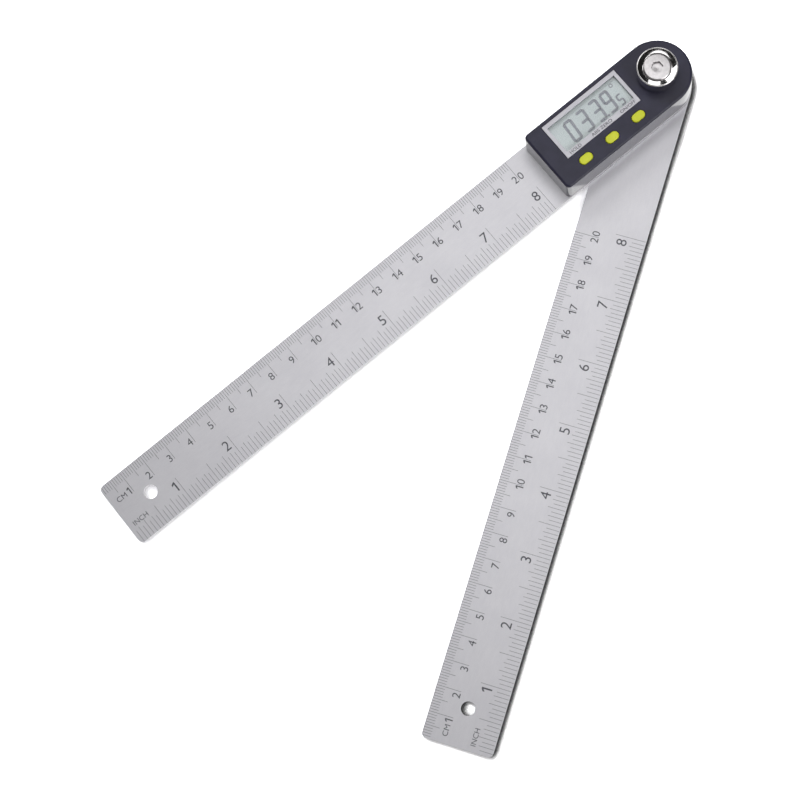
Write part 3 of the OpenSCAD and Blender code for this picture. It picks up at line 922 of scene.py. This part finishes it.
def key_cap(name, node):
    """A stadium raised step by step: flange, cap wall, rounded edge and crown."""
    low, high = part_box(node)
    x, y = (low.x + high.x) / 2, (low.y + high.y) / 2
    flange_low = head_high.z - roof_t - flange_gap - flange_t
    piece = stadium(name, x, y, high.x - low.x, high.y - low.y, flange_low, flange_low + flange_t)
    begin(piece)
    pick("faces", lambda face: face.normal.z > 0.9)
    bpy.ops.mesh.inset(thickness=key_flange, depth=0)
    wall = high.z - crown_rise - cap_edge - flange_low - flange_t
    bpy.ops.mesh.extrude_region_move(TRANSFORM_OT_translate={"value": (0, 0, wall)})
    for k in range(cap_steps):
        near, far_end = (math.radians(90 * (k + n) / cap_steps) for n in (0, 1))
        inward = cap_edge * (math.cos(near) - math.cos(far_end))
        upward = cap_edge * (math.sin(far_end) - math.sin(near))
        bpy.ops.mesh.inset(thickness=inward, depth=upward)
    for share in (0.6, 0.3, 0.1):
        bpy.ops.mesh.inset(thickness=crown_step, depth=crown_rise * share)
    finish_edit()
    shade(piece, key_plastic, angle=50)
    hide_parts(node)
    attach(piece, node)


for node in key_nodes:
    key_cap(node.replace("button", "key"), node)


# Clamp knob. Turned brass, chromed, with a smooth wall and a round hollow in
# its top; it runs on the shaft's thread over a keyed steel washer.
def arc(centre_r, centre_z, radius, first, last, steps):
    """Points of an arc in a half section, its angles in degrees from outwards to up."""
    angles = [math.radians(first + (last - first) * k / steps) for k in range(steps + 1)]
    return [(centre_r + radius * math.cos(a), centre_z + radius * math.sin(a)) for a in angles]


def turned(name, x, y, base, section, sides=128):
    """A ring extruded and resized from point to point of a half section of radius and height."""
    (radius, height), *rest = section
    bpy.ops.mesh.primitive_circle_add(vertices=sides, radius=radius, location=(x, y, base + height))
    bpy.ops.object.transform_apply(location=True, rotation=True, scale=True)
    piece = bpy.context.object
    piece.name = name
    begin(piece)
    pick("verts", lambda vert: True)
    for next_radius, next_height in rest:
        lift_by = {"value": (0, 0, next_height - height)}
        bpy.ops.mesh.extrude_region_move(TRANSFORM_OT_translate=lift_by)
        grow = next_radius / radius
        bpy.ops.transform.resize(value=(grow, grow, 1), center_override=(x, y, base))
        radius, height = next_radius, next_height
    pick("verts", lambda vert: True)
    bpy.ops.mesh.remove_doubles(threshold=0.0005 * mm)
    bpy.ops.mesh.select_all(action="DESELECT")
    bpy.ops.mesh.select_non_manifold()
    bpy.ops.mesh.edge_face_add()
    pick("faces", lambda face: True)
    bpy.ops.mesh.normals_make_consistent(inside=False)
    finish_edit()
    return piece


def turning_rings(place, scale, waver):
    """The fine rings that a turner's tool leaves about the pivot's axis."""
    sockets = {"Vector": place, "Scale": 1 / scale, "Distortion": waver}
    return place.node("ShaderNodeTexWave", {"wave_type": "RINGS", "rings_direction": "Z"}, sockets)


def chrome_pattern(place):
    turning = turning_rings(place, 1.2 * mm, 0.3)
    haze = noise(place, 1.5 * mm, 4)
    pits = noise(place, 0.08 * mm, 2)
    return {
        "Roughness": haze.span(0.3, 0.7, 0.05, 0.13),
        "Normal": bumped(turning * 0.3 + pits * 0.7, 0.0006 * mm),
    }


knob_chrome = new_material(
    "knob_chrome", chrome_pattern, {"Base Color": colour(238, 236, 236), "Metallic": 1.0}
)
knob_low, knob_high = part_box("lock_knob")
knob_r = (knob_high.x - knob_low.x) / 2
knob_h = knob_high.z - knob_low.z
knob_bore = 5.04 * mm
knob_edge = 0.4 * mm
knob_rim_r = knob_r - knob_edge
stop_low, stop_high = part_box("stop_screw")
stop_head_h = 2.2 * mm
stop_r = (stop_high.x - stop_low.x) / 2
stop_head_low = stop_high.z - stop_head_h
knob_travel = 1 * mm
well_gap = 0.2 * mm
well_r = stop_r + well_gap
well_floor = stop_head_low - knob_travel - knob_low.z
well_edge = 0.08 * mm
dish_r = 22 * mm
rim_flat = 0.02 * mm
dish_centre_h = knob_h + math.sqrt(dish_r ** 2 - knob_rim_r ** 2)
dish_first = -math.degrees(math.acos((knob_rim_r - rim_flat) / dish_r))
dish_last = -math.degrees(math.acos((well_r + well_edge) / dish_r))
dish = arc(0, dish_centre_h, dish_r, dish_first, dish_last, 12)
knob_section = (
    [(knob_bore, 0), (knob_rim_r, 0)]
    + arc(knob_rim_r, knob_edge, knob_edge, -90, 0, 6)[1:]
    + arc(knob_rim_r, knob_h - knob_edge, knob_edge, 0, 90, 8)
    + dish
    + [(well_r, dish[-1][1] - well_edge), (well_r, well_floor), (knob_bore, well_floor), (knob_bore, 0)]
)
clamp_knob = turned("clamp_knob", 0, 0, knob_low.z, knob_section)
shade(clamp_knob, knob_chrome, angle=50)
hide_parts("lock_knob")
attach(clamp_knob, "lock_knob")


# Stop screw. A flat head with a hexagon socket, sunk in the knob's well, which keeps
# the knob from coming off the shaft; satin stainless steel.
stop_edge = 0.6 * mm
stop_ball_r = 80 * mm
shank_r = 3 * mm
under_edge = 0.1 * mm
hex_across = 4 * mm
hex_depth = 1.7 * mm
point_depth = 0.6 * mm
point_end_r = 0.05 * mm
point_wall = 0.2 * mm
point_overlap = 0.01 * mm


def satin_pattern(place):
    satin = noise(place, 0.07 * mm, 3)
    haze = noise(place, 1.2 * mm, 3)
    return {
        "Base Color": blend_colours(haze.span(0.35, 0.65), colour(206, 203, 204), colour(220, 217, 218)),
        "Roughness": 0.3 + 0.12 * satin,
        "Normal": bumped(satin, 0.003 * mm),
    }


screw_steel = new_material("screw_steel", satin_pattern, {"Metallic": 1.0})
flat_r = stop_r - stop_edge
crown_first = math.degrees(math.acos(flat_r / stop_ball_r))
crown_drop = stop_ball_r - math.sqrt(stop_ball_r ** 2 - flat_r ** 2)
stop_section = (
    [(shank_r, stop_low.z), (shank_r, stop_head_low), (stop_r - under_edge, stop_head_low)]
    + [(stop_r, stop_head_low + under_edge)]
    + arc(flat_r, stop_high.z - crown_drop - stop_edge, stop_edge, 0, 84, 8)
    + arc(0, stop_high.z - stop_ball_r, stop_ball_r, crown_first, 89, 6)
)
stop_screw = turned("stop_screw", 0, 0, 0, stop_section)
hex_corner_r = hex_across / 2 / math.cos(math.radians(30))
hex_floor = stop_high.z - hex_depth
cut(stop_screw, drill("socket", 0, 0, hex_corner_r, hex_floor, stop_high.z + mm, sides=6))
cut(stop_screw, drill(
    "drill_point", 0, 0, point_end_r, hex_floor - point_depth, hex_floor + point_overlap,
    sides=32, top_radius=hex_across / 2 - point_wall,
))
ease_edges(stop_screw, under_edge)
shade(stop_screw, screw_steel)
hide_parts("stop_screw")
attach(stop_screw, "lower_arm")


# Keyed washer. A thin pressed steel disc under the knob, whose flat holds it on
# the shaft, so that tightening the knob doesn't drag the head round.
def plain_metal(dark, light, rough, grain=0.1 * mm, rings=0.0):
    """Bare metal: fine grain, clouds of tone, and a turner's rings about the pivot where asked."""
    def pattern(place):
        fine = noise(place, grain, 3)
        cloud = noise(place, 20 * grain, 3)
        turning = turning_rings(place, 3 * mm, 0.2)
        return {
            "Base Color": blend_colours(cloud.span(0.35, 0.65), dark, light),
            "Roughness": rough - 0.05 + 0.1 * fine,
            "Normal": bumped(fine * (1 - rings) + turning * rings, 0.003 * mm),
        }
    return pattern


packed_weld = 0.001 * mm
flat_angle = 0.5


def eased_copy(name, node, body, material, width):
    """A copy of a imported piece, merged and with its edges broken, which stands for it."""
    piece = bpy.data.objects.new(name, nodes[node].data.copy())
    bpy.context.scene.collection.objects.link(piece)
    begin(piece)
    pick("verts", lambda vert: True)
    bpy.ops.mesh.remove_doubles(threshold=packed_weld)
    bpy.ops.mesh.dissolve_limited(angle_limit=math.radians(flat_angle))
    finish_edit()
    ease_edges(piece, width)
    shade(piece, material)
    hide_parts(node)
    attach(piece, body)


def finish_node(node, material):
    """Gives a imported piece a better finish."""
    nodes[node].data.materials.clear()
    nodes[node].data.materials.append(material)


spring_steel = new_material(
    "spring_steel", plain_metal(colour(168, 168, 172), colour(188, 188, 192), 0.25), {"Metallic": 1.0}
)
eased_copy("keyed_washer", "knob_washer", "knob_washer", spring_steel, 0.06 * mm)


# Hub spring. A coned disc of the same steel, which presses the encoder's hub
# down from the ring under the roof and takes up its play.
finish_node("hub_spring", spring_steel)


# Pivot shaft. Turned from one bar with its broad foot, flatted for the hub and
# the washer, and pressed into the back of the lower rule.
turned_steel = new_material(
    "turned_steel", plain_metal(colour(176, 175, 178), colour(194, 193, 196), 0.3, 0.1 * mm, 0.8),
    {"Metallic": 1.0},
)
eased_copy("shaft_with_foot", "pivot_shaft", "lower_arm", turned_steel, 0.1 * mm)


# Pivot bush. Turned brass, pressed into the upper rule with its flange on top;
# the shaft runs in it.
bush_brass = new_material(
    "bush_brass", plain_metal(colour(196, 160, 86), colour(214, 180, 104), 0.28, 0.1 * mm, 0.8),
    {"Metallic": 1.0},
)
finish_node("pivot_bush", bush_brass)


# Washer between the rules. Punched from natural nylon sheet, milky and smooth,
# so that the two rules don't scratch each other.
def soft_plastic(dark, light, grain, rough):
    """A plain moulded or punched plastic: an even tone with faint clouds and a dull fine grain."""
    def pattern(place):
        fine = noise(place, grain, 3)
        cloud = noise(place, 4 * mm, 3)
        return {
            "Base Color": blend_colours(cloud.span(0.35, 0.65), dark, light),
            "Roughness": rough - 0.05 + 0.1 * fine,
            "Normal": bumped(fine, 0.004 * mm),
        }
    return pattern


nylon = new_material("nylon", soft_plastic(colour(222, 218, 204), colour(232, 229, 217), 0.1 * mm, 0.42))
finish_node("blade_washer", nylon)


# Base, and the lid of the battery's pocket. Both are moulded in black plastic;
# the lid's three lugs turn into the base, and a coin fits its slot.
base_plastic = new_material(
    "base_plastic", moulded_plastic(colour(30, 30, 34), colour(38, 38, 43), 0.16 * mm, 0.008 * mm, 0.45)
)
eased_copy("moulded_base", "head_base", "upper_arm", base_plastic, 0.06 * mm)
eased_copy("battery_lid", "battery_cover", "battery_cover", base_plastic, 0.15 * mm)


# Lid seal. A ring of black nitrile rubber in the lid's groove, dull and a
# little dusty, which keeps coolant and dust out of the pocket.
seal_rubber = new_material(
    "seal_rubber", soft_plastic(colour(27, 27, 28), colour(36, 36, 37), 0.08 * mm, 0.6)
)
finish_node("cover_seal", seal_rubber)


# Screws. Four countersunk ones with cross slots hold the head through the upper
# rule, and two small plain ones the board; all are satin stainless steel.
eased_copy("rule_screws", "housing_screws", "upper_arm", screw_steel, 0.05 * mm)
finish_node("board_screws", screw_steel)


# Display holder and hub. White styrene mouldings: a frame that carries the
# glass over the board, and the sleeve that turns the encoder's disc.
white_plastic = new_material(
    "white_plastic", soft_plastic(colour(228, 228, 224), colour(238, 238, 235), 0.12 * mm, 0.4)
)
finish_node("lcd_holder", white_plastic)
finish_node("rotor_hub", white_plastic)


# Contact strip. Layers of conducting and plain silicone, sliced across, which
# join the glass to the board when the holder squeezes them.
layer_scale = 1.2 * mm


def layered_pattern(place):
    layers = place.node("ShaderNodeTexWave", {"bands_direction": "X"},
                        {"Vector": place, "Scale": 1 / layer_scale})
    grain = noise(place, 0.1 * mm)
    return {
        "Base Color": blend_colours(layers.span(0.4, 0.6), colour(52, 52, 54), colour(172, 166, 160)),
        "Roughness": 0.5 + 0.15 * grain,
        "Normal": bumped(layers, 0.01 * mm),
    }


finish_node("zebra_connector", new_material("contact_rubber", layered_pattern))


# Circuit board. Glass-epoxy sheet under green lacquer, with rows of tracks that
# stand a little proud of it.
track_scale = 4 * mm


def tracked_pattern(place):
    tracks = place.node(
        "ShaderNodeTexWave", {"bands_direction": "Y"},
        {"Vector": place, "Scale": 1 / track_scale, "Distortion": 0.6, "Detail Scale": 200.0},
    )
    weave = noise(place, 0.3 * mm, 3)
    mask = tracks.span(0.62, 0.7)
    return {
        "Base Color": blend_colours(mask, colour(18, 78, 42), colour(38, 112, 62)),
        "Roughness": 0.3 + 0.15 * weave,
        "Normal": bumped(mask * 0.8 + weave * 0.2, 0.03 * mm),
    }


board_laminate = new_material("board_laminate", tracked_pattern)
finish_node("circuit_board", board_laminate)


# Encoder disc. The same laminate, with a ring of gilt pads that the board
# senses as the disc turns over it with the shaft.
pad_count = 48
pad_inner_r = 7.5 * mm
pad_outer_r = 9.5 * mm
pad_soft = 0.1 * mm


def padded_pattern(place):
    x, y = (place.node("ShaderNodeSeparateXYZ", {}, {0: place}, axis) for axis in "XY")
    wave = place.math("SINE", place.math("ARCTAN2", y, x) * pad_count)
    reach = place.math("SQRT", x * x + y * y)
    past_inner = reach.span(pad_inner_r, pad_inner_r + pad_soft)
    ring = past_inner * reach.span(pad_outer_r, pad_outer_r + pad_soft, 1.0, 0.0)
    pads = wave.span(0.0, 0.15) * ring
    weave = noise(place, 0.3 * mm, 3)
    return {
        "Base Color": blend_colours(pads, colour(22, 84, 48), colour(214, 178, 98)),
        "Metallic": pads,
        "Roughness": 0.3 + 0.12 * weave,
        "Normal": bumped(pads, 0.02 * mm),
    }


finish_node("encoder_rotor", new_material("encoder_laminate", padded_pattern))


# Epoxy drop. Black resin run over the bare chip and cured to a soft gloss.
epoxy_drop = new_material("epoxy_drop", soft_plastic(colour(18, 18, 20), colour(26, 26, 28), 0.5 * mm, 0.22))
finish_node("chip_cap", epoxy_drop)


# Key mat. One sheet of grey silicone rubber with a dome under each key, which
# springs the key back.
silicone = new_material(
    "silicone", soft_plastic(colour(178, 180, 183), colour(190, 192, 195), 0.1 * mm, 0.55)
)
finish_node("keypad", silicone)


# Cell. A coin cell in a pressed, nickel-plated steel can with a fine satin
# grain.
cell_steel = new_material(
    "cell_steel", plain_metal(colour(190, 192, 195), colour(206, 208, 211), 0.22, 0.08 * mm),
    {"Metallic": 1.0},
)
finish_node("battery_cell", cell_steel)


# Contacts. Two strips of phosphor bronze, bent to press on the cell's base
# and on its side.
spring_bronze = new_material(
    "spring_bronze", plain_metal(colour(206, 170, 96), colour(222, 190, 118), 0.25), {"Metallic": 1.0}
)
for node in ("plus_contact", "minus_contact"):
    finish_node(node, spring_bronze)
